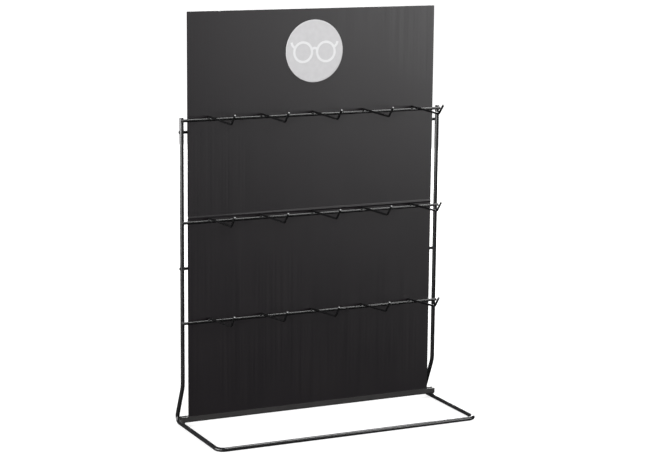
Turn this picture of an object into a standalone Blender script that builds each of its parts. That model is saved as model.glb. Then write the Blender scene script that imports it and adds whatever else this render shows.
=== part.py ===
"""Countertop display stand for eyeglasses: a bent rod frame, three rows of hooks and a lift-out board.

Units are metres. +X is to the right as a customer faces the stand, -Y is its front and +Z is up.
The origin is on the counter, under the middle of the stand's footprint.
"""

from math import cos, pi, radians, sin, tan

import bmesh
import bpy
from mathutils import Matrix, Vector

# Driving dimensions
OVERALL_WIDTH = 0.340  # over the outer sides of the uprights
OVERALL_HEIGHT = 0.492  # counter to the top edge of the board
UPRIGHT_TOP = 0.3705
KNEE_HEIGHT = 0.0495  # where an upright starts to slant back
REAR_SETBACK = 0.0215  # from the uprights' plane back to where leg and floor run would meet
FRONT_REACH = 0.112  # from the uprights' plane forward to the front bar's axis

ROD_DIAMETER = 0.005
BAR_DIAMETER = 0.0035
HOOK_DIAMETER = 0.0025
TOUCH_GAP = 0.0003  # between pieces that touch

KNEE_RADIUS = 0.026
REAR_CORNER_RADIUS = 0.007
FRONT_CORNER_RADIUS = 0.009

HOOK_ROWS = (("top", 0.367, -0.8), ("middle", 0.247, 1.7), ("bottom", 0.127, 4.5))  # height, rise in degrees
HOOKS_PER_ROW = 5
HOOK_SPACING = 0.0665
HOOK_GROUP_SHIFT = -0.002  # the hooks stand this far off the middle, to the left
HOOK_ROOT = 0.0026  # rear end of a hook, in front of the uprights' plane
HOOK_ELBOW = 0.0715  # where the tip turns up, in front of the uprights' plane
HOOK_TIP_LENGTH = 0.0161
HOOK_TIP_ANGLE = radians(48)
HOOK_BEND_RADIUS = 0.005

REAR_BARS = (("upper", 0.3525), ("lower", 0.191))
BAR_INSET = 0.001  # from the uprights' outer sides in to a bar's cut end

CHANNEL_UNDERSIDE = 0.0055  # above the counter: the weld holds the channel just off the rod
CHANNEL_WIDTH = 0.0074
CHANNEL_HEIGHT = 0.0071
CHANNEL_WALL = 0.0012
CHANNEL_BEND_RADIUS = 0.0018  # outside

BOARD_WIDTH = 0.320
BOARD_THICKNESS = 0.0035
CREASE_HEIGHT = 0.252
CREASE_HALF_WIDTH = 0.0016
CREASE_RIDGE = 0.00035  # how far the crease stands out at the front
CREASE_GROOVE = 0.0012  # how deep it is pressed in from the back

BADGE_DIAMETER = 0.074
BADGE_THICKNESS = 0.0005
BADGE_HEIGHT = 0.442
BADGE_RIM_BEVEL = 0.00015

ROD_SIDES = 16
WIRE_SIDES = 12
BADGE_SIDES = 64
BEND_STEP = radians(11.5)  # the most that one facet of a bend turns
CHANNEL_BEND_FACETS = 3
SMOOTH_UP_TO = radians(40)

RIGHT = Vector((1, 0, 0))
BACK = Vector((0, 1, 0))
UP = Vector((0, 0, 1))

ROD_RADIUS = ROD_DIAMETER / 2
BAR_RADIUS = BAR_DIAMETER / 2
HOOK_RADIUS = HOOK_DIAMETER / 2
UPRIGHT_X = OVERALL_WIDTH / 2 - ROD_RADIUS


def leg_slant():
    """Angle between a slanting leg and the vertical."""
    return Vector((KNEE_HEIGHT - ROD_RADIUS, REAR_SETBACK)).angle_signed(Vector((1, 0)))


def rear_reach():
    """How far the rod's outer side reaches behind the uprights' plane, at the rounded rear corners."""
    half_inside = (pi / 2 - leg_slant()) / 2
    return REAR_SETBACK - REAR_CORNER_RADIUS / tan(half_inside) + REAR_CORNER_RADIUS + ROD_RADIUS


# The footprint is centred on the origin, which puts the plane of the uprights and the board here.
BOARD_PLANE = (FRONT_REACH + ROD_RADIUS - rear_reach()) / 2


class BentRod:
    """A round rod made as a wire bender makes it: straight feeds, and bends about a given axis."""

    def __init__(self, start, heading, side, radius, sides):
        self.mesh = bmesh.new()
        self.place = Vector(start)
        self.heading = Vector(heading).normalized()
        # The profile's flats, not its corners, face along side, so the flats are one radius from the axis.
        made = bmesh.ops.create_circle(self.mesh, segments=sides, radius=radius / cos(pi / sides), cap_ends=True)
        turn = Matrix((side, self.heading.cross(side), self.heading)).transposed()
        half_step = Matrix.Rotation(pi / sides, 3, "Z")
        bmesh.ops.transform(
            self.mesh, matrix=Matrix.Translation(self.place) @ (turn @ half_step).to_4x4(), verts=made["verts"]
        )
        self.rim = list(self.mesh.edges)

    def feed(self, length):
        """Carries the rod on in a straight line."""
        made = bmesh.ops.extrude_edge_only(self.mesh, edges=self.rim)["geom"]
        step = self.heading * length
        bmesh.ops.translate(self.mesh, vec=step, verts=[v for v in made if isinstance(v, bmesh.types.BMVert)])
        self.rim = [e for e in made if isinstance(e, bmesh.types.BMEdge)]
        self.place = self.place + step

    def bend(self, axis, angle, radius):
        """Turns the rod by angle about axis, on an arc of the given radius."""
        centre = self.place + axis.cross(self.heading) * radius
        facets = max(1, round(angle / BEND_STEP))
        made = bmesh.ops.spin(
            self.mesh, geom=self.rim, cent=centre, axis=axis, angle=angle, steps=facets, use_duplicate=False
        )
        self.rim = [e for e in made["geom_last"] if isinstance(e, bmesh.types.BMEdge)]
        turn = Matrix.Rotation(angle, 3, axis)
        self.place = centre + turn @ (self.place - centre)
        self.heading = turn @ self.heading

    def finished(self, name):
        """Closes the far end and returns the rod as a mesh."""
        bmesh.ops.edgeloop_fill(self.mesh, edges=self.rim)
        return finished_mesh(self.mesh, name)


def finished_mesh(shape, name):
    """The bmesh as a mesh with its faces out, round stretches smooth and corners sharp."""
    bmesh.ops.recalc_face_normals(shape, faces=shape.faces)
    mesh = bpy.data.meshes.new(name)
    shape.to_mesh(mesh)
    shape.free()
    mesh.shade_smooth()
    mesh.set_sharp_from_angle(angle=SMOOTH_UP_TO)
    return mesh


def extruded(name, outline, width):
    """A closed outline of (y, z) points, carried across width in X about the middle."""
    shape = bmesh.new()
    face = shape.faces.new([shape.verts.new((-width / 2, y, z)) for y, z in outline])
    made = bmesh.ops.extrude_face_region(shape, geom=[face])["geom"]
    bmesh.ops.translate(shape, vec=RIGHT * width, verts=[v for v in made if isinstance(v, bmesh.types.BMVert)])
    return finished_mesh(shape, name)


def arc(centre_y, centre_z, radius, first, last, facets):
    """Points (y, z) on an arc, its ends included. Angles are in degrees from +Y towards +Z."""
    angles = [radians(first + (last - first) * i / facets) for i in range(facets + 1)]
    return [(centre_y + radius * cos(a), centre_z + radius * sin(a)) for a in angles]


def material(name, colour, roughness, metallic):
    """A Principled material of one colour."""
    made = bpy.data.materials.new(name)
    made.use_nodes = True
    shader = made.node_tree.nodes["Principled BSDF"]
    shader.inputs["Base Color"].default_value = (*colour, 1)
    shader.inputs["Roughness"].default_value = roughness
    shader.inputs["Metallic"].default_value = metallic
    return made


def place(name, mesh, finish, parent, location=(0, 0, 0), rise=0.0):
    """An object of this mesh under an empty. rise tips its front up, in degrees."""
    made = bpy.data.objects.new(name, mesh)
    made.location = location
    made.rotation_euler.x = -radians(rise)
    made.parent = parent
    if not mesh.materials:
        mesh.materials.append(finish)
    bpy.context.scene.collection.objects.link(made)
    return made


def empty(name, location):
    made = bpy.data.objects.new(name, None)
    made.location = location
    bpy.context.scene.collection.objects.link(made)
    return made


def frame_rod():
    """The whole frame, from the top of the left upright round the base to the top of the right one."""
    slant = leg_slant()
    leg = Vector((REAR_SETBACK, KNEE_HEIGHT - ROD_RADIUS)).length
    knee_trim = KNEE_RADIUS * tan(slant / 2)
    rear_trim = REAR_CORNER_RADIUS * tan((pi / 2 + slant) / 2)
    front_trim = FRONT_CORNER_RADIUS
    upright = UPRIGHT_TOP - KNEE_HEIGHT - knee_trim
    leg_run = leg - knee_trim - rear_trim
    floor_run = REAR_SETBACK + FRONT_REACH - rear_trim - front_trim
    front_run = 2 * (UPRIGHT_X - front_trim)

    rod = BentRod((-UPRIGHT_X, 0, UPRIGHT_TOP), -UP, RIGHT, ROD_RADIUS, ROD_SIDES)
    rod.feed(upright)
    rod.bend(RIGHT, slant, KNEE_RADIUS)
    rod.feed(leg_run)
    rod.bend(-RIGHT, pi / 2 + slant, REAR_CORNER_RADIUS)
    rod.feed(floor_run)
    rod.bend(UP, pi / 2, FRONT_CORNER_RADIUS)
    rod.feed(front_run)
    rod.bend(UP, pi / 2, FRONT_CORNER_RADIUS)
    rod.feed(floor_run)
    rod.bend(RIGHT, pi / 2 + slant, REAR_CORNER_RADIUS)
    rod.feed(leg_run)
    rod.bend(-RIGHT, slant, KNEE_RADIUS)
    rod.feed(upright)
    return rod.finished("frame_rod")


def cross_bar():
    """A straight bar across both uprights."""
    length = OVERALL_WIDTH - 2 * BAR_INSET
    bar = BentRod((-length / 2, 0, 0), RIGHT, BACK, BAR_RADIUS, WIRE_SIDES)
    bar.feed(length)
    return bar.finished("cross_bar")


def hook():
    """One hook, its origin on its axis over the bar that carries it."""
    bar_distance = ROD_RADIUS + TOUCH_GAP + BAR_RADIUS
    bend_trim = HOOK_BEND_RADIUS * tan(HOOK_TIP_ANGLE / 2)
    wire = BentRod((0, bar_distance - HOOK_ROOT, 0), -BACK, RIGHT, HOOK_RADIUS, WIRE_SIDES)
    wire.feed(HOOK_ELBOW - HOOK_ROOT - bend_trim)
    wire.bend(-RIGHT, HOOK_TIP_ANGLE, HOOK_BEND_RADIUS)
    wire.feed(HOOK_TIP_LENGTH - bend_trim)
    return wire.finished("hook")


def channel():
    """The U channel that the board stands in, its underside at height zero."""
    half = CHANNEL_WIDTH / 2
    inside = half - CHANNEL_WALL
    bend = CHANNEL_BEND_RADIUS
    inner_bend = bend - CHANNEL_WALL
    facets = CHANNEL_BEND_FACETS
    outline = [(-half, CHANNEL_HEIGHT)]
    outline += arc(bend - half, bend, bend, 180, 270, facets)
    outline += arc(half - bend, bend, bend, 270, 360, facets)
    outline += [(half, CHANNEL_HEIGHT), (inside, CHANNEL_HEIGHT)]
    outline += arc(half - bend, bend, inner_bend, 360, 270, 1)
    outline += arc(bend - half, bend, inner_bend, 270, 180, 1)
    outline += [(-inside, CHANNEL_HEIGHT)]
    return extruded("bottom_channel", outline, OVERALL_WIDTH)


def board(bottom):
    """The back board, with its crease standing out at the front and pressed in at the back."""
    front = -BOARD_THICKNESS / 2
    back = BOARD_THICKNESS / 2
    low = CREASE_HEIGHT - CREASE_HALF_WIDTH
    high = CREASE_HEIGHT + CREASE_HALF_WIDTH
    outline = [(front, bottom), (front, low), (front - CREASE_RIDGE, CREASE_HEIGHT), (front, high)]
    outline += [(front, OVERALL_HEIGHT), (back, OVERALL_HEIGHT)]
    outline += [(back, high), (back - CREASE_GROOVE, CREASE_HEIGHT), (back, low), (back, bottom)]
    return extruded("back_board", outline, BOARD_WIDTH)


def badge():
    """The round sticker, its back at zero in Y and its face to the front."""
    shape = bmesh.new()
    radius = BADGE_DIAMETER / 2
    bmesh.ops.create_cone(
        shape, cap_ends=True, segments=BADGE_SIDES, radius1=radius, radius2=radius, depth=BADGE_THICKNESS
    )
    upright = Matrix.Rotation(pi / 2, 4, "X")
    shift = Matrix.Translation(-BACK * BADGE_THICKNESS / 2)
    bmesh.ops.transform(shape, matrix=shift @ upright, verts=shape.verts)
    face_rim = [e for e in shape.edges if all(v.co.y < -BADGE_THICKNESS / 2 for v in e.verts)]
    bmesh.ops.bevel(shape, geom=face_rim, offset=BADGE_RIM_BEVEL, segments=1, affect="EDGES")
    return finished_mesh(shape, "header_badge")


def add_stand(parent, coat, wire_coat):
    """Everything that is welded together."""
    front_bar = -(ROD_RADIUS + TOUCH_GAP + BAR_RADIUS)
    bar_mesh = cross_bar()
    hook_mesh = hook()
    place("frame_rod", frame_rod(), coat, parent)
    place("bottom_channel", channel(), coat, parent, (0, 0, CHANNEL_UNDERSIDE))
    for level, height in REAR_BARS:
        place(f"rear_bar_{level}", bar_mesh, wire_coat, parent, (0, -front_bar, height))
    for row, height, rise in HOOK_ROWS:
        place(f"hook_bar_{row}", bar_mesh, wire_coat, parent, (0, front_bar, height))
        seat = height + BAR_RADIUS + TOUCH_GAP + HOOK_RADIUS
        for i in range(HOOKS_PER_ROW):
            x = HOOK_GROUP_SHIFT + (i - (HOOKS_PER_ROW - 1) / 2) * HOOK_SPACING
            place(f"hook_{row}_{i + 1}", hook_mesh, wire_coat, parent, (x, front_bar, seat), rise)


def add_board(parent, plastic, sticker):
    """The pieces that lift out."""
    bottom = CHANNEL_UNDERSIDE + CHANNEL_WALL + TOUCH_GAP
    place("back_board", board(bottom), plastic, parent)
    face = -BOARD_THICKNESS / 2 - TOUCH_GAP
    place("header_badge", badge(), sticker, parent, (0, face, BADGE_HEIGHT))


def clear_scene():
    for old in list(bpy.data.objects):
        bpy.data.objects.remove(old, do_unlink=True)


def main():
    clear_scene()
    coat = material("satin_black_powder_coat", (0.012, 0.012, 0.013), 0.38, 0.0)
    wire_coat = material("satin_black_wire_coat", (0.010, 0.010, 0.011), 0.32, 0.0)
    plastic = material("black_fluted_plastic", (0.022, 0.021, 0.022), 0.45, 0.0)
    sticker = material("pale_grey_vinyl", (0.69, 0.69, 0.70), 0.40, 0.0)
    add_stand(empty("stand_origin", (0, BOARD_PLANE, 0)), coat, wire_coat)
    add_board(empty("board_lift", (0, BOARD_PLANE, 0)), plastic, sticker)


main()
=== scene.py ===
"""Looks for a countertop eyeglasses display stand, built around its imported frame.

Units are metres. +X is to the right as a customer faces the stand, -Y is its front and +Z is up.
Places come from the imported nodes' boxes. The bends, which no box shows, repeat the frame's own radii.
"""

from math import cos, pi, radians, sin, tan

import bmesh
import bpy
from mathutils import Matrix, Vector

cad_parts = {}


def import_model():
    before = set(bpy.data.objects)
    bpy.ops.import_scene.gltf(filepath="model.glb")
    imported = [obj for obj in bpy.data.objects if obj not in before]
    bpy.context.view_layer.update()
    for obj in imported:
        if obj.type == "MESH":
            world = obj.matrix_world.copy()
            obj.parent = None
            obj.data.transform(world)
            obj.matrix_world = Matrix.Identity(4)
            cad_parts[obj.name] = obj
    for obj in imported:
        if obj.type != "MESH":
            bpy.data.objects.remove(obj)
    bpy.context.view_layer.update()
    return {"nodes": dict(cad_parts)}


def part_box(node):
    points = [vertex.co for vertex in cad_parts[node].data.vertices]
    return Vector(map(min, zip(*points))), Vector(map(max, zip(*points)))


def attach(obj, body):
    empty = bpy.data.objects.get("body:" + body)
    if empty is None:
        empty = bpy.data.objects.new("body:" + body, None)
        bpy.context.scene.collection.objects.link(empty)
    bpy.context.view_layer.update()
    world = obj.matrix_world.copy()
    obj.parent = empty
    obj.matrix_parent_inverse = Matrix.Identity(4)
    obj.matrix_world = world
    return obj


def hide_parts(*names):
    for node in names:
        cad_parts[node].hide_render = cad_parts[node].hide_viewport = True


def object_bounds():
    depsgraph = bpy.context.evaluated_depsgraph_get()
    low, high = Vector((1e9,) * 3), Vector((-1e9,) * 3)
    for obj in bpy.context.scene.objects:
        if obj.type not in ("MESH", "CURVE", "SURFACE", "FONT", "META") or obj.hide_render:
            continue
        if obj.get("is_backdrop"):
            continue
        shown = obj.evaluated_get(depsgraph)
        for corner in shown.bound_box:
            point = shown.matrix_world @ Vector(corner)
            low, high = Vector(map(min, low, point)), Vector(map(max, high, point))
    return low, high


# The frame's rod and its bends
ROD_RADIUS = 0.0025
KNEE_HEIGHT = 0.0495
REAR_SETBACK = 0.0215  # of the rod's foot behind the uprights
KNEE_RADIUS = 0.026
REAR_CORNER_RADIUS = 0.007
FRONT_CORNER_RADIUS = 0.009

# The hooks' bends
HOOK_RISE = {"top": -0.8, "middle": 1.7, "bottom": 4.5}  # degrees
HOOKS_PER_ROW = 5
HOOK_ELBOW = 0.0715  # from the uprights' plane forward
HOOK_ROOT = 0.0026  # likewise
HOOK_TIP_LENGTH = 0.0161
HOOK_TIP_ANGLE = radians(48)
HOOK_BEND_RADIUS = 0.005

# How the wires are drawn
ROD_SIDES = 40
WIRE_SIDES = 28
BEND_STEP = radians(4)
CUT_CHAMFER = 0.00025

# The welds: what the frame leaves open at each, and half the size of a bead along X, Y and Z
TOUCH_GAP = 0.0003
BAR_BEAD = (0.0019, 0.0011, 0.0022)
HOOK_BEAD = (0.0017, 0.0013, 0.0008)
CHANNEL_BEAD = (0.0024, 0.0034, 0.0010)
BEAD_TURN = 1.7  # how much each bead's lumps are turned from the last one's, in radians

# The fluted board
BOARD_THICKNESS = 0.0035
BOARD_ROWS = 44
FLUTE_PITCH = 0.0043
FLUTE_COLUMNS = 6  # columns of faces across one flute
RIB_HEIGHT = 0.000006
SKIN = 0.00035
WEB = 0.00045
OPEN_DEPTH = 0.012
SHEET_WAVE = 0.00012

# The crease pressed into the board
CREASE_HEIGHT = 0.252
CREASE_WIDTH = 0.0020  # from its ridge to where the board is flat again
CREASE_ROWS = 6  # rows of faces across that width
CREASE_RIDGE = 0.0006
CREASE_GROOVE = 0.0011
CREASE_FAINTEST = 0.25  # share of the ridge left near the board's left edge

# The badge: its edge as steps of inset and share of the thickness
BADGE_SIDES = 128
BADGE_EDGE = ((0, 0), (0, 0.4), (0.00008, 0.8), (0.00025, 1), (0.0012, 1))

# The badge's pictogram
LENS_RADIUS = 0.0115
LENS_SPACING = 0.0296
LENS_DROP = 0.0010  # below the badge's middle
LENS_SEGMENTS = 48
BRIDGE_DROP = 0.0006  # likewise
TEMPLE_ANGLE = radians(28)
TEMPLE_BEND = Vector((0.0028, 0.0030))
TEMPLE_END = Vector((0.0012, 0.0034))
STROKE = 0.0029
PRINT_THICKNESS = 0.00008
THIN_PRINT = 0.6 * PRINT_THICKNESS  # where lines cross, so that their faces don't coincide

# The camera
VIEW_YAW = radians(25.28)
VIEW_PITCH = radians(10.734)
VIEW_ROLL = radians(0.507)
VIEW_DISTANCE = 2.3026
VIEW_SIDE = -0.0086  # the point looked at, from the middle of the stand
VIEW_DROP = -0.0139
LENS = 108.94
SENSOR = 36

# The studio
AMBIENT = 0.032
BACKDROP = 1.1
FLOOR_GLOW = 0.74
GLOW_START = 0.25  # distances from the stand between which the floor's glow rises to the backdrop's
GLOW_END = 0.9
FLOOR_REACH = 12
WHITE = (1, 1, 1, 1)


# Shapes


def rounded_path(corners, radii):
    """Points along straight runs between corners, each inner corner rounded to its radius."""
    points = [Vector(corners[0])]
    for before, here, after, radius in zip(corners, corners[1:], corners[2:], radii):
        come = (Vector(here) - Vector(before)).normalized()
        leave = (Vector(after) - Vector(here)).normalized()
        angle = come.angle(leave)
        start = Vector(here) - come * radius * tan(angle / 2)
        inward = (leave - come * come.dot(leave)).normalized()
        centre = start + inward * radius
        steps = max(2, round(angle / BEND_STEP))
        for i in range(steps + 1):
            turned = angle * i / steps
            points.append(centre + (come * sin(turned) - inward * cos(turned)) * radius)
    points.append(Vector(corners[-1]))
    return points


def wire_mesh(name, points, radius, sides):
    """A round wire along points, its cut ends chamfered and closed."""
    first = (points[1] - points[0]).normalized()
    last = (points[-1] - points[-2]).normalized()
    chamfer = CUT_CHAMFER
    rings = [(points[0], radius - chamfer), (points[0] + first * chamfer, radius)]
    rings += [(p, radius) for p in points[1:-1]]
    rings += [(points[-1] - last * chamfer, radius), (points[-1], radius - chamfer)]
    places = [p for p, _ in rings]
    shape = bmesh.new()
    side = first.orthogonal().normalized()
    heading = first
    loops = []
    for i, (place, size) in enumerate(rings):
        ahead = places[min(i + 1, len(places) - 1)] - places[max(i - 1, 0)]
        turned = heading.rotation_difference(ahead.normalized())
        side = (turned @ side).normalized()
        heading = ahead.normalized()
        other = heading.cross(side)
        angles = [2 * pi * k / sides for k in range(sides)]
        loops.append([shape.verts.new(place + (side * cos(a) + other * sin(a)) * size) for a in angles])
    for low, high in zip(loops, loops[1:]):
        for k in range(sides):
            shape.faces.new((low[k], low[(k + 1) % sides], high[(k + 1) % sides], high[k]))
    shape.faces.new(loops[0][::-1])
    shape.faces.new(loops[-1])
    return finished_mesh(shape, name)


def finished_mesh(shape, name, sharp=35):
    """A smooth shaded mesh with crisp edges where faces meet at more than sharp degrees."""
    bmesh.ops.recalc_face_normals(shape, faces=shape.faces)
    mesh = bpy.data.meshes.new(name)
    shape.to_mesh(mesh)
    shape.free()
    mesh.shade_smooth()
    mesh.set_sharp_from_angle(angle=radians(sharp))
    return mesh


def piece(name, mesh, finish, body, slot, *nodes):
    """A piece in its place, riding on a body and standing for CAD nodes."""
    made = bpy.data.objects.new(name, mesh)
    bpy.context.scene.collection.objects.link(made)
    mesh.materials.append(finish)
    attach(made, body)
    if nodes:
        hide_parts(*nodes)


def middle(node):
    low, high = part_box(node)
    return (low + high) / 2


def size(node):
    low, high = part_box(node)
    return high - low


# Materials


class Nodes:
    """A material's node tree around its Principled shader."""

    def __init__(self, name, colour, roughness, specular=0.5):
        self.material = bpy.data.materials.new(name)
        self.material.use_nodes = True
        self.tree = self.material.node_tree
        self.shader = self.tree.nodes["Principled BSDF"]
        self.shader.inputs["Base Color"].default_value = (*colour, 1)
        self.shader.inputs["Roughness"].default_value = roughness
        self.shader.inputs["Specular IOR Level"].default_value = specular
        self.coordinates = self.tree.nodes.new("ShaderNodeTexCoord").outputs["Object"]

    def add(self, kind, **values):
        node = self.tree.nodes.new(kind)
        for key, value in values.items():
            setattr(node, key, value)
        return node

    def link(self, source, target):
        self.tree.links.new(source, target)

    def stretched(self, scale):
        """Object coordinates multiplied by scale, one factor for each axis."""
        node = self.add("ShaderNodeMapping", vector_type="POINT")
        node.inputs["Scale"].default_value = scale
        self.link(self.coordinates, node.inputs["Vector"])
        return node.outputs["Vector"]

    def noise(self, scale, detail=2.0, coordinates=None, roughness=0.5):
        node = self.add("ShaderNodeTexNoise")
        node.inputs["Scale"].default_value = scale
        node.inputs["Detail"].default_value = detail
        node.inputs["Roughness"].default_value = roughness
        self.link(coordinates or self.coordinates, node.inputs["Vector"])
        return node.outputs["Fac"]

    def ranged(self, value, low, high, source_low=0.3, source_high=0.7):
        """value spread from one range onto another."""
        node = self.add("ShaderNodeMapRange", clamp=True)
        self.link(value, node.inputs["Value"])
        node.inputs["From Min"].default_value = source_low
        node.inputs["From Max"].default_value = source_high
        node.inputs["To Min"].default_value = low
        node.inputs["To Max"].default_value = high
        return node.outputs["Result"]

    def maths(self, operation, first, second):
        node = self.add("ShaderNodeMath", operation=operation)
        for socket, value in zip(node.inputs, (first, second)):
            if isinstance(value, (int, float)):
                socket.default_value = value
            else:
                self.link(value, socket)
        return node.outputs["Value"]

    def blended(self, share, first, second):
        """The colour between two, by share."""
        node = self.add("ShaderNodeMix", data_type="RGBA")
        self.link(share, node.inputs["Factor"])
        for key, value in (("A", first), ("B", second)):
            socket = next(s for s in node.inputs if s.name == key and s.type == "RGBA")
            if isinstance(value, tuple):
                socket.default_value = (*value, 1)
            else:
                self.link(value, socket)
        return next(s for s in node.outputs if s.type == "RGBA")

    def bump(self, height, strength, distance, under=None):
        node = self.add("ShaderNodeBump")
        node.inputs["Strength"].default_value = strength
        node.inputs["Distance"].default_value = distance
        self.link(height, node.inputs["Height"])
        if under:
            self.link(under, node.inputs["Normal"])
        return node.outputs["Normal"]

    def finish(self, colour=None, roughness=None, normal=None):
        for key, value in (("Base Color", colour), ("Roughness", roughness), ("Normal", normal)):
            if value:
                self.link(value, self.shader.inputs[key])
        return self.material


def powder_coat(name, dark, light, smooth, rough, peel):
    """Satin black powder coat: a fine orange peel, a finer grain and a slightly uneven gloss."""
    made = Nodes(name, dark, rough)
    flow = made.noise(scale=35, detail=3)
    peel_height = made.noise(scale=1100, detail=2)
    grain_height = made.noise(scale=5200, detail=2)
    speck = made.ranged(made.noise(scale=2600, detail=1), 0, 1, source_low=0.72, source_high=0.76)
    tone = made.blended(made.ranged(flow, 0, 1), dark, light)
    colour = made.blended(made.maths("MULTIPLY", speck, 0.35), tone, (0.10, 0.10, 0.10))
    roughness = made.ranged(made.noise(scale=240, detail=3), smooth, rough)
    normal = made.bump(grain_height, strength=0.12, distance=0.00002)
    normal = made.bump(peel_height, strength=peel, distance=0.00006, under=normal)
    return made.finish(colour, roughness, normal)


def fluted_plastic():
    """Black polypropylene sheet: faint streaks along its flutes, soft cloudiness and a fine grain."""
    dark = (0.0034, 0.0022, 0.0036)
    light = (0.0050, 0.0032, 0.0046)
    cloudy = (0.0056, 0.0034, 0.0046)
    satin = 0.41
    made = Nodes("fluted_board_plastic", dark, satin)
    streaks = made.noise(scale=1, detail=3, coordinates=made.stretched((420, 420, 5)), roughness=0.6)
    fine_streaks = made.noise(scale=1, detail=2, coordinates=made.stretched((1500, 1500, 12)))
    clouds = made.noise(scale=14, detail=4)
    grain_height = made.noise(scale=3600, detail=3)
    tone = made.blended(made.ranged(streaks, 0, 1), dark, light)
    colour = made.blended(made.ranged(clouds, 0, 0.5), tone, cloudy)
    uneven = made.maths("ADD", made.ranged(clouds, -0.012, 0.012), made.ranged(streaks, -0.036, 0.036))
    uneven = made.maths("ADD", uneven, made.ranged(fine_streaks, -0.010, 0.010))
    roughness = made.maths("ADD", uneven, satin)
    normal = made.bump(grain_height, strength=0.16, distance=0.00003)
    normal = made.bump(fine_streaks, strength=0.12, distance=0.00003, under=normal)
    return made.finish(colour, roughness, normal)


def printed_vinyl(name, low, high, rough):
    """Satin vinyl with a fine tooth and slightly uneven ink."""
    made = Nodes(name, low, rough)
    colour = made.blended(made.ranged(made.noise(scale=160, detail=5), 0, 1), low, high)
    roughness = made.ranged(made.noise(scale=420, detail=2), rough - 0.04, rough + 0.05)
    normal = made.bump(made.noise(scale=4200, detail=3), strength=0.10, distance=0.00002)
    return made.finish(colour, roughness, normal)


# The welded stand


def frame_rod(coat, plane):
    """The frame's one bent rod, from the top of one upright to the other. Gives the uprights' X."""
    low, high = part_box("frame_rod")
    side = high.x - ROD_RADIUS
    top = (-side, plane, high.z)
    knee = (-side, plane, KNEE_HEIGHT)
    foot = (-side, plane + REAR_SETBACK, ROD_RADIUS)
    toe = (-side, low.y + ROD_RADIUS, ROD_RADIUS)
    left = [top, knee, foot, toe]
    right = [(-x, y, z) for x, y, z in reversed(left)]
    half = [KNEE_RADIUS, REAR_CORNER_RADIUS, FRONT_CORNER_RADIUS]
    points = rounded_path(left + right, half + half[::-1])
    mesh = wire_mesh("bent_frame_rod", points, ROD_RADIUS, ROD_SIDES)
    piece("bent_frame_rod", mesh, coat, "stand", "frame_coat", "frame_rod")
    return side


def straight_bar(node, coat):
    low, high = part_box(node)
    centre = middle(node)
    radius = (high.y - low.y) / 2
    points = [Vector((low.x, centre.y, centre.z)), Vector((high.x, centre.y, centre.z))]
    mesh = wire_mesh(node + "_wire", points, radius, WIRE_SIDES)
    piece(node + "_wire", mesh, coat, "stand", "wire_coat", node)


def hook(row, number, coat, plane):
    """One wire hook on top of its bar. Gives the point of its axis above the bar."""
    node = f"hook_{row}_{number}"
    bar_low, bar_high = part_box(f"hook_bar_{row}")
    bar_y = (bar_low.y + bar_high.y) / 2
    radius = size(node).x / 2
    seat = Vector((middle(node).x, bar_y, bar_high.z + TOUCH_GAP + radius))
    elbow = Vector((0, plane - HOOK_ELBOW - bar_y, 0))
    root = Vector((0, plane - HOOK_ROOT - bar_y, 0))
    tip = elbow + Vector((0, -cos(HOOK_TIP_ANGLE), sin(HOOK_TIP_ANGLE))) * HOOK_TIP_LENGTH
    tilt = Matrix.Rotation(-radians(HOOK_RISE[row]), 3, "X")
    corners = [seat + tilt @ p for p in (root, elbow, tip)]
    points = rounded_path(corners, [HOOK_BEND_RADIUS])
    mesh = wire_mesh(node + "_wire", points, radius, WIRE_SIDES)
    piece(node + "_wire", mesh, coat, "stand", "wire_coat", node)
    return seat


def bead(shape, centre, radii, turn):
    """One weld bead: a small uneven lump."""
    made = bmesh.ops.create_icosphere(shape, subdivisions=3, radius=1)["verts"]
    for v in made:
        x, y, z = v.co
        swell = 1 + 0.10 * sin(3 * x + turn) * cos(2 * z - turn) + 0.07 * sin(5 * y + 2 * turn)
        v.co = Vector((x * radii[0], y * radii[1], z * radii[2])) * swell + Vector(centre)


def welds(name, places, radii, coat):
    shape = bmesh.new()
    for i, centre in enumerate(places):
        bead(shape, centre, radii, BEAD_TURN * i)
    piece(name, finished_mesh(shape, name, 80), coat, "stand", "frame_coat")


def stand(coat, wire_coat, weld_coat, channel_coat_painted_light, plane):
    side = frame_rod(coat, plane)
    for node in ("rear_bar_upper", "rear_bar_lower", "hook_bar_top", "hook_bar_middle", "hook_bar_bottom"):
        straight_bar(node, wire_coat)
        centre = middle(node)
        facing = 1 if centre.y > plane else -1
        touch = plane + facing * (ROD_RADIUS + TOUCH_GAP / 2)
        places = [(x, touch, centre.z) for x in (-side, side)]
        welds(node + "_welds", places, BAR_BEAD, weld_coat)
    for row in HOOK_RISE:
        seats = [hook(row, i + 1, wire_coat, plane) for i in range(HOOKS_PER_ROW)]
        drop = Vector((0, 0, size(f"hook_{row}_1").x / 2 + TOUCH_GAP / 2))
        welds(f"hook_{row}_welds", [seat - drop for seat in seats], HOOK_BEAD, weld_coat)
    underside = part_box("bottom_channel")[0].z
    places = [(x, plane, (2 * ROD_RADIUS + underside) / 2) for x in (-side, side)]
    welds("channel_welds", places, CHANNEL_BEAD, weld_coat)
    # The channel gets its lighter coat here: painted light on its face.
    frame["nodes"]["bottom_channel"].data.materials.clear()
    frame["nodes"]["bottom_channel"].data.materials.append(channel_coat_painted_light)


# The board


def crease_share(z):
    """How far the crease stands out at this height, from 0 to 1."""
    away = abs(z - CREASE_HEIGHT) / CREASE_WIDTH
    return 0.5 + 0.5 * cos(pi * away) if away < 1 else 0.0


def board_levels(low, high):
    """Heights of the rows of vertices: even, with close rows at the crease and just past it."""
    even = [low + (high - low) * i / BOARD_ROWS for i in range(BOARD_ROWS + 1)]
    last = CREASE_ROWS + 2
    near = [CREASE_HEIGHT + CREASE_WIDTH * k / CREASE_ROWS for k in range(-last, last + 1)]
    return sorted([z for z in even if abs(z - CREASE_HEIGHT) > 1.5 * CREASE_WIDTH] + near)


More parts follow.
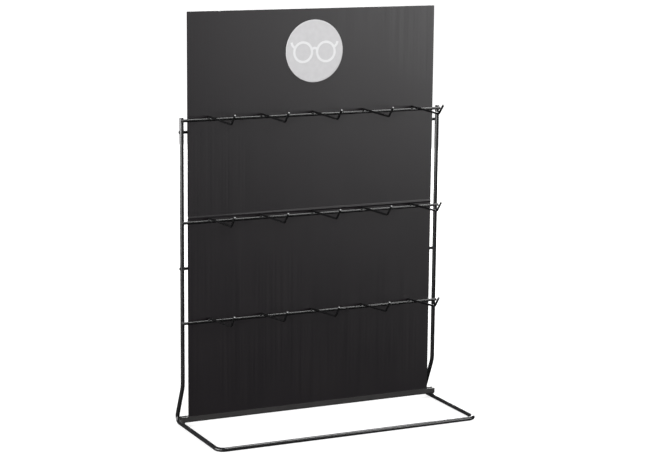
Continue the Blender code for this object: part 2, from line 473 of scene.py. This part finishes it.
def wave(x, z):
    """How far the sheet leaves its plane here: a long swell and a shorter one half as high."""
    long = sin(19 * x + 4 * z) * cos(13 * z + 1)
    short = 0.5 * sin(43 * x - 9 * z + 2)
    return SHEET_WAVE * (long + short)


def board(plastic, plane):
    low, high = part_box("back_board")
    half = BOARD_THICKNESS / 2
    flutes = round((high.x - low.x) / FLUTE_PITCH)
    pitch = (high.x - low.x) / flutes
    columns = flutes * FLUTE_COLUMNS
    levels = board_levels(low.z, high.z)
    shape = bmesh.new()

    def skin(facing):
        """One face of the board, as rows of vertices. The front has the ridge, the back the groove."""
        grid = []
        for z in levels:
            row = []
            for c in range(columns + 1):
                x = low.x + (high.x - low.x) * c / columns
                rib = RIB_HEIGHT * (cos(2 * pi * c / FLUTE_COLUMNS) - 1)
                fade = min(1.0, max(CREASE_FAINTEST, (x - low.x) / (high.x - low.x) * 2))
                pushed = CREASE_RIDGE * fade if facing < 0 else -CREASE_GROOVE
                y = plane + wave(x, z) + facing * (half + rib + crease_share(z) * pushed)
                row.append(shape.verts.new((x, y, z)))
            grid.append(row)
        for a, b in zip(grid, grid[1:]):
            for c in range(columns):
                shape.faces.new((a[c], a[c + 1], b[c + 1], b[c]))
        return grid

    front = skin(-1)
    back = skin(1)
    for side in (0, columns):
        for i in range(len(levels) - 1):
            shape.faces.new((front[i][side], front[i + 1][side], back[i + 1][side], back[i][side]))
    for level, into in ((0, 1), (len(levels) - 1, -1)):
        open_edge(shape, front[level], back[level], flutes, pitch, into * OPEN_DEPTH)
    mesh = finished_mesh(shape, "fluted_back_board", 30)
    piece("fluted_back_board", mesh, plastic, "board", "board_plastic", "back_board")


def open_edge(shape, front, back, flutes, pitch, depth):
    """The sheet's cut edge, with the mouth of each flute open to a depth."""
    for i in range(flutes):
        near = front[i * FLUTE_COLUMNS : (i + 1) * FLUTE_COLUMNS + 1]
        far = back[i * FLUTE_COLUMNS : (i + 1) * FLUTE_COLUMNS + 1]
        z = near[0].co.z
        left = near[0].co.x + WEB / 2
        right = near[-1].co.x - WEB / 2
        front_y = near[0].co.y + SKIN
        back_y = far[0].co.y - SKIN
        mouth = [(left, front_y), (right, front_y), (right, back_y), (left, back_y)]
        rim = [shape.verts.new((x, y, z)) for x, y in mouth]
        end = [shape.verts.new((x, y, z + depth)) for x, y in mouth]
        shape.faces.new(near + [rim[1], rim[0]])
        shape.faces.new(far[::-1] + [rim[3], rim[2]])
        shape.faces.new((near[0], rim[0], rim[3], far[0]))
        shape.faces.new((near[-1], far[-1], rim[2], rim[1]))
        for k in range(4):
            shape.faces.new((rim[k], rim[(k + 1) % 4], end[(k + 1) % 4], end[k]))
        shape.faces.new(end)


# The badge


def disc(vinyl):
    """The badge with a rounded rim. Gives the middle of its face."""
    low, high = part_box("header_badge")
    centre = (low + high) / 2
    shape = bmesh.new()
    rings = []
    for inset, share in BADGE_EDGE:
        reach = (high.x - low.x) / 2 - inset
        y = high.y - (high.y - low.y) * share
        ring = []
        for k in range(BADGE_SIDES):
            angle = 2 * pi * k / BADGE_SIDES
            ring.append(shape.verts.new((centre.x + reach * cos(angle), y, centre.z + reach * sin(angle))))
        rings.append(ring)
    for a, b in zip(rings, rings[1:]):
        for k in range(BADGE_SIDES):
            shape.faces.new((a[k], a[(k + 1) % BADGE_SIDES], b[(k + 1) % BADGE_SIDES], b[k]))
    shape.faces.new(rings[0][::-1])
    shape.faces.new(rings[-1])
    mesh = finished_mesh(shape, "badge_disc", 50)
    piece("badge_disc", mesh, vinyl, "board", "badge_vinyl", "header_badge")
    return Vector((centre.x, low.y, centre.z))


def stroke(shape, points, y, thickness, closed=False):
    """A flat printed line of even width, raised off the disc."""
    count = len(points)
    edges = []
    for i, p in enumerate(points):
        if closed:
            run = points[(i + 1) % count] - points[i - 1]
        else:
            run = points[min(i + 1, count - 1)] - points[max(i - 1, 0)]
        across = Vector((-run.y, run.x)).normalized() * STROKE / 2
        edges.append((p + across, p - across))
    sheets = []
    for depth in (y, y - thickness):
        sheets.append([[shape.verts.new((q.x, depth, q.y)) for q in pair] for pair in edges])
    spans = [(i, (i + 1) % count) for i in range(count if closed else count - 1)]
    under, over = sheets
    for i, j in spans:
        shape.faces.new((over[i][0], over[j][0], over[j][1], over[i][1]))
        shape.faces.new((under[i][1], under[j][1], under[j][0], under[i][0]))
        for k in (0, 1):
            shape.faces.new((under[i][k], under[j][k], over[j][k], over[i][k]))
    if not closed:
        for i in (0, count - 1):
            shape.faces.new((under[i][0], under[i][1], over[i][1], over[i][0]))


def arc_points(centre, radius, first, last, steps):
    """Points along an arc between two angles in degrees."""
    angles = [radians(first + (last - first) * i / steps) for i in range(steps + 1)]
    return [centre + Vector((cos(a), sin(a))) * radius for a in angles]


def pictogram(ink, face):
    """A plain drawing of a pair of glasses: two rims, a bridge and the ends of two temples."""
    shape = bmesh.new()
    last = 360 - 360 / LENS_SEGMENTS
    for side in (-1, 1):
        centre = Vector((face.x + side * LENS_SPACING / 2, face.z - LENS_DROP))
        rim = arc_points(centre, LENS_RADIUS, 0, last, LENS_SEGMENTS - 1)
        stroke(shape, rim, face.y, PRINT_THICKNESS, closed=True)
        mirror = Matrix(((side, 0), (0, 1)))
        outward = (LENS_RADIUS + STROKE * 0.4) * cos(TEMPLE_ANGLE)
        start = centre + mirror @ Vector((outward, LENS_RADIUS * sin(TEMPLE_ANGLE)))
        bend = start + mirror @ TEMPLE_BEND
        stroke(shape, [start, bend, bend + mirror @ TEMPLE_END], face.y, THIN_PRINT)
    bridge = Vector((face.x, face.z - BRIDGE_DROP))
    reach = LENS_SPACING / 2 - LENS_RADIUS + STROKE * 0.3
    stroke(shape, arc_points(bridge, reach, 15, 165, 10), face.y, THIN_PRINT)
    mesh = finished_mesh(shape, "badge_pictogram")
    piece("badge_pictogram", mesh, ink, "board", "badge_vinyl")


# The studio


def floor():
    """A pale matt floor whose glow rises with distance, so that it runs into the white behind."""
    made = Nodes("pale_floor", (0.36, 0.36, 0.36), roughness=0.85, specular=0.1)
    clouds = made.ranged(made.noise(scale=3, detail=3), 0, 1)
    colour = made.blended(clouds, (0.34, 0.34, 0.34), (0.37, 0.37, 0.37))
    away = made.add("ShaderNodeVectorMath", operation="LENGTH")
    made.link(made.coordinates, away.inputs[0])
    glow = made.ranged(away.outputs["Value"], FLOOR_GLOW, BACKDROP, GLOW_START, GLOW_END)
    made.shader.inputs["Emission Color"].default_value = WHITE
    made.link(glow, made.shader.inputs["Emission Strength"])
    mesh = bpy.data.meshes.new("studio_floor")
    corners = [(FLOOR_REACH * x, FLOOR_REACH * y, 0) for x, y in ((-1, -1), (1, -1), (1, 1), (-1, 1))]
    mesh.from_pydata(corners, [], [(0, 1, 2, 3)])
    made_floor = bpy.data.objects.new("studio_floor", mesh)
    bpy.context.scene.collection.objects.link(made_floor)
    mesh.materials.append(made.finish(colour))
    made_floor.visible_glossy = False
    made_floor.visible_diffuse = False
    made_floor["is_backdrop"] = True


def softbox(name, place, target, width, height, power):
    """A white rectangular light at a place, facing a target."""
    data = bpy.data.lights.new(name, "AREA")
    data.shape = "RECTANGLE"
    data.size = width
    data.size_y = height
    data.energy = power
    made = bpy.data.objects.new(name, data)
    bpy.context.scene.collection.objects.link(made)
    made.location = place
    made.rotation_euler = (Vector(target) - Vector(place)).to_track_quat("-Z", "Y").to_euler()


def world():
    """White behind the stand, and a dim even light on it."""
    made = bpy.data.worlds.new("studio")
    made.use_nodes = True
    tree = made.node_tree
    background = tree.nodes["Background"]
    background.inputs["Color"].default_value = WHITE
    path = tree.nodes.new("ShaderNodeLightPath")
    strength = tree.nodes.new("ShaderNodeMapRange")
    strength.inputs["To Min"].default_value = AMBIENT
    strength.inputs["To Max"].default_value = BACKDROP
    tree.links.new(path.outputs["Is Camera Ray"], strength.inputs["Value"])
    tree.links.new(strength.outputs["Result"], background.inputs["Strength"])
    bpy.context.scene.world = made


def lights():
    """The board mirrors the key, the bars the overhead light and the uprights the two on the left."""
    softbox("key_right", (1.46, -1.74, 0.65), (0, 0, 0.50), 1.1, 0.8, 26)
    softbox("overhead", (0.62, -0.12, 1.65), (0, 0, 0), 0.9, 0.8, 27)
    softbox("left_side", (-1.72, 0.10, 0.46), (0, 0, 0.40), 1.5, 0.9, 42)
    softbox("left_wall", (-1.60, -0.95, 0.42), (0, 0, 0.40), 1.7, 0.9, 34)
    softbox("rear_fill", (1.10, 2.00, 0.55), (0, 0, 0.35), 1.6, 1.0, 40)


def camera():
    """A long lens that stands left of the front and looks down a little."""
    low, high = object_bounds()
    centre = (low + high) / 2
    target = Vector((centre.x + VIEW_SIDE, centre.y, centre.z + VIEW_DROP))
    ahead = Vector((sin(VIEW_YAW) * cos(VIEW_PITCH), cos(VIEW_YAW) * cos(VIEW_PITCH), -sin(VIEW_PITCH)))
    level = Vector((cos(VIEW_YAW), -sin(VIEW_YAW), 0))
    upright = level.cross(ahead)
    right = level * cos(VIEW_ROLL) + upright * sin(VIEW_ROLL)
    up = upright * cos(VIEW_ROLL) - level * sin(VIEW_ROLL)
    data = bpy.data.cameras.new("camera")
    data.lens = LENS
    data.sensor_width = SENSOR
    made = bpy.data.objects.new("camera", data)
    bpy.context.scene.collection.objects.link(made)
    turn = Matrix((right, up, -ahead)).transposed().to_4x4()
    made.matrix_world = Matrix.Translation(target - ahead * VIEW_DISTANCE) @ turn
    bpy.context.scene.camera = made


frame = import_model()
camera()
uprights_plane = middle("bottom_channel").y
frame_coat = powder_coat(
    "frame_powder_coat",
    dark=(0.010, 0.010, 0.0105),
    light=(0.015, 0.015, 0.0155),
    smooth=0.18,
    rough=0.26,
    peel=0.14,
)
# Painted shade: the hooks and bars wear the frame's own powder coat, painted about three times darker so
# that the hooks look black in shade and the bars' highlights stand out against them.
wire_coat = powder_coat(
    "wire_powder_coat_painted_shade",
    dark=(0.003, 0.003, 0.0032),
    light=(0.005, 0.005, 0.0052),
    smooth=0.20,
    rough=0.28,
    peel=0.14,
)
# Painted light: the channel wears the frame's own powder coat, painted about two and a half times lighter
# to stand in for the light falling on its face.
channel_coat_painted_light = powder_coat(
    "channel_powder_coat_painted_light",
    dark=(0.026, 0.025, 0.025),
    light=(0.034, 0.032, 0.032),
    smooth=0.34,
    rough=0.44,
    peel=0.22,
)
weld_coat = powder_coat(
    "weld_powder_coat",
    dark=(0.010, 0.010, 0.0105),
    light=(0.018, 0.018, 0.018),
    smooth=0.34,
    rough=0.48,
    peel=0.6,
)
grey_vinyl = printed_vinyl("badge_grey_vinyl", (0.53, 0.525, 0.535), (0.57, 0.565, 0.575), rough=0.42)
white_ink = printed_vinyl("badge_white_ink", (0.70, 0.70, 0.71), (0.74, 0.74, 0.75), rough=0.36)
stand(frame_coat, wire_coat, weld_coat, channel_coat_painted_light, uprights_plane)
board(fluted_plastic(), uprights_plane)
badge_face = disc(grey_vinyl)
pictogram(white_ink, badge_face)
floor()
world()
lights()
bpy.context.scene.view_settings.view_transform = "Standard"
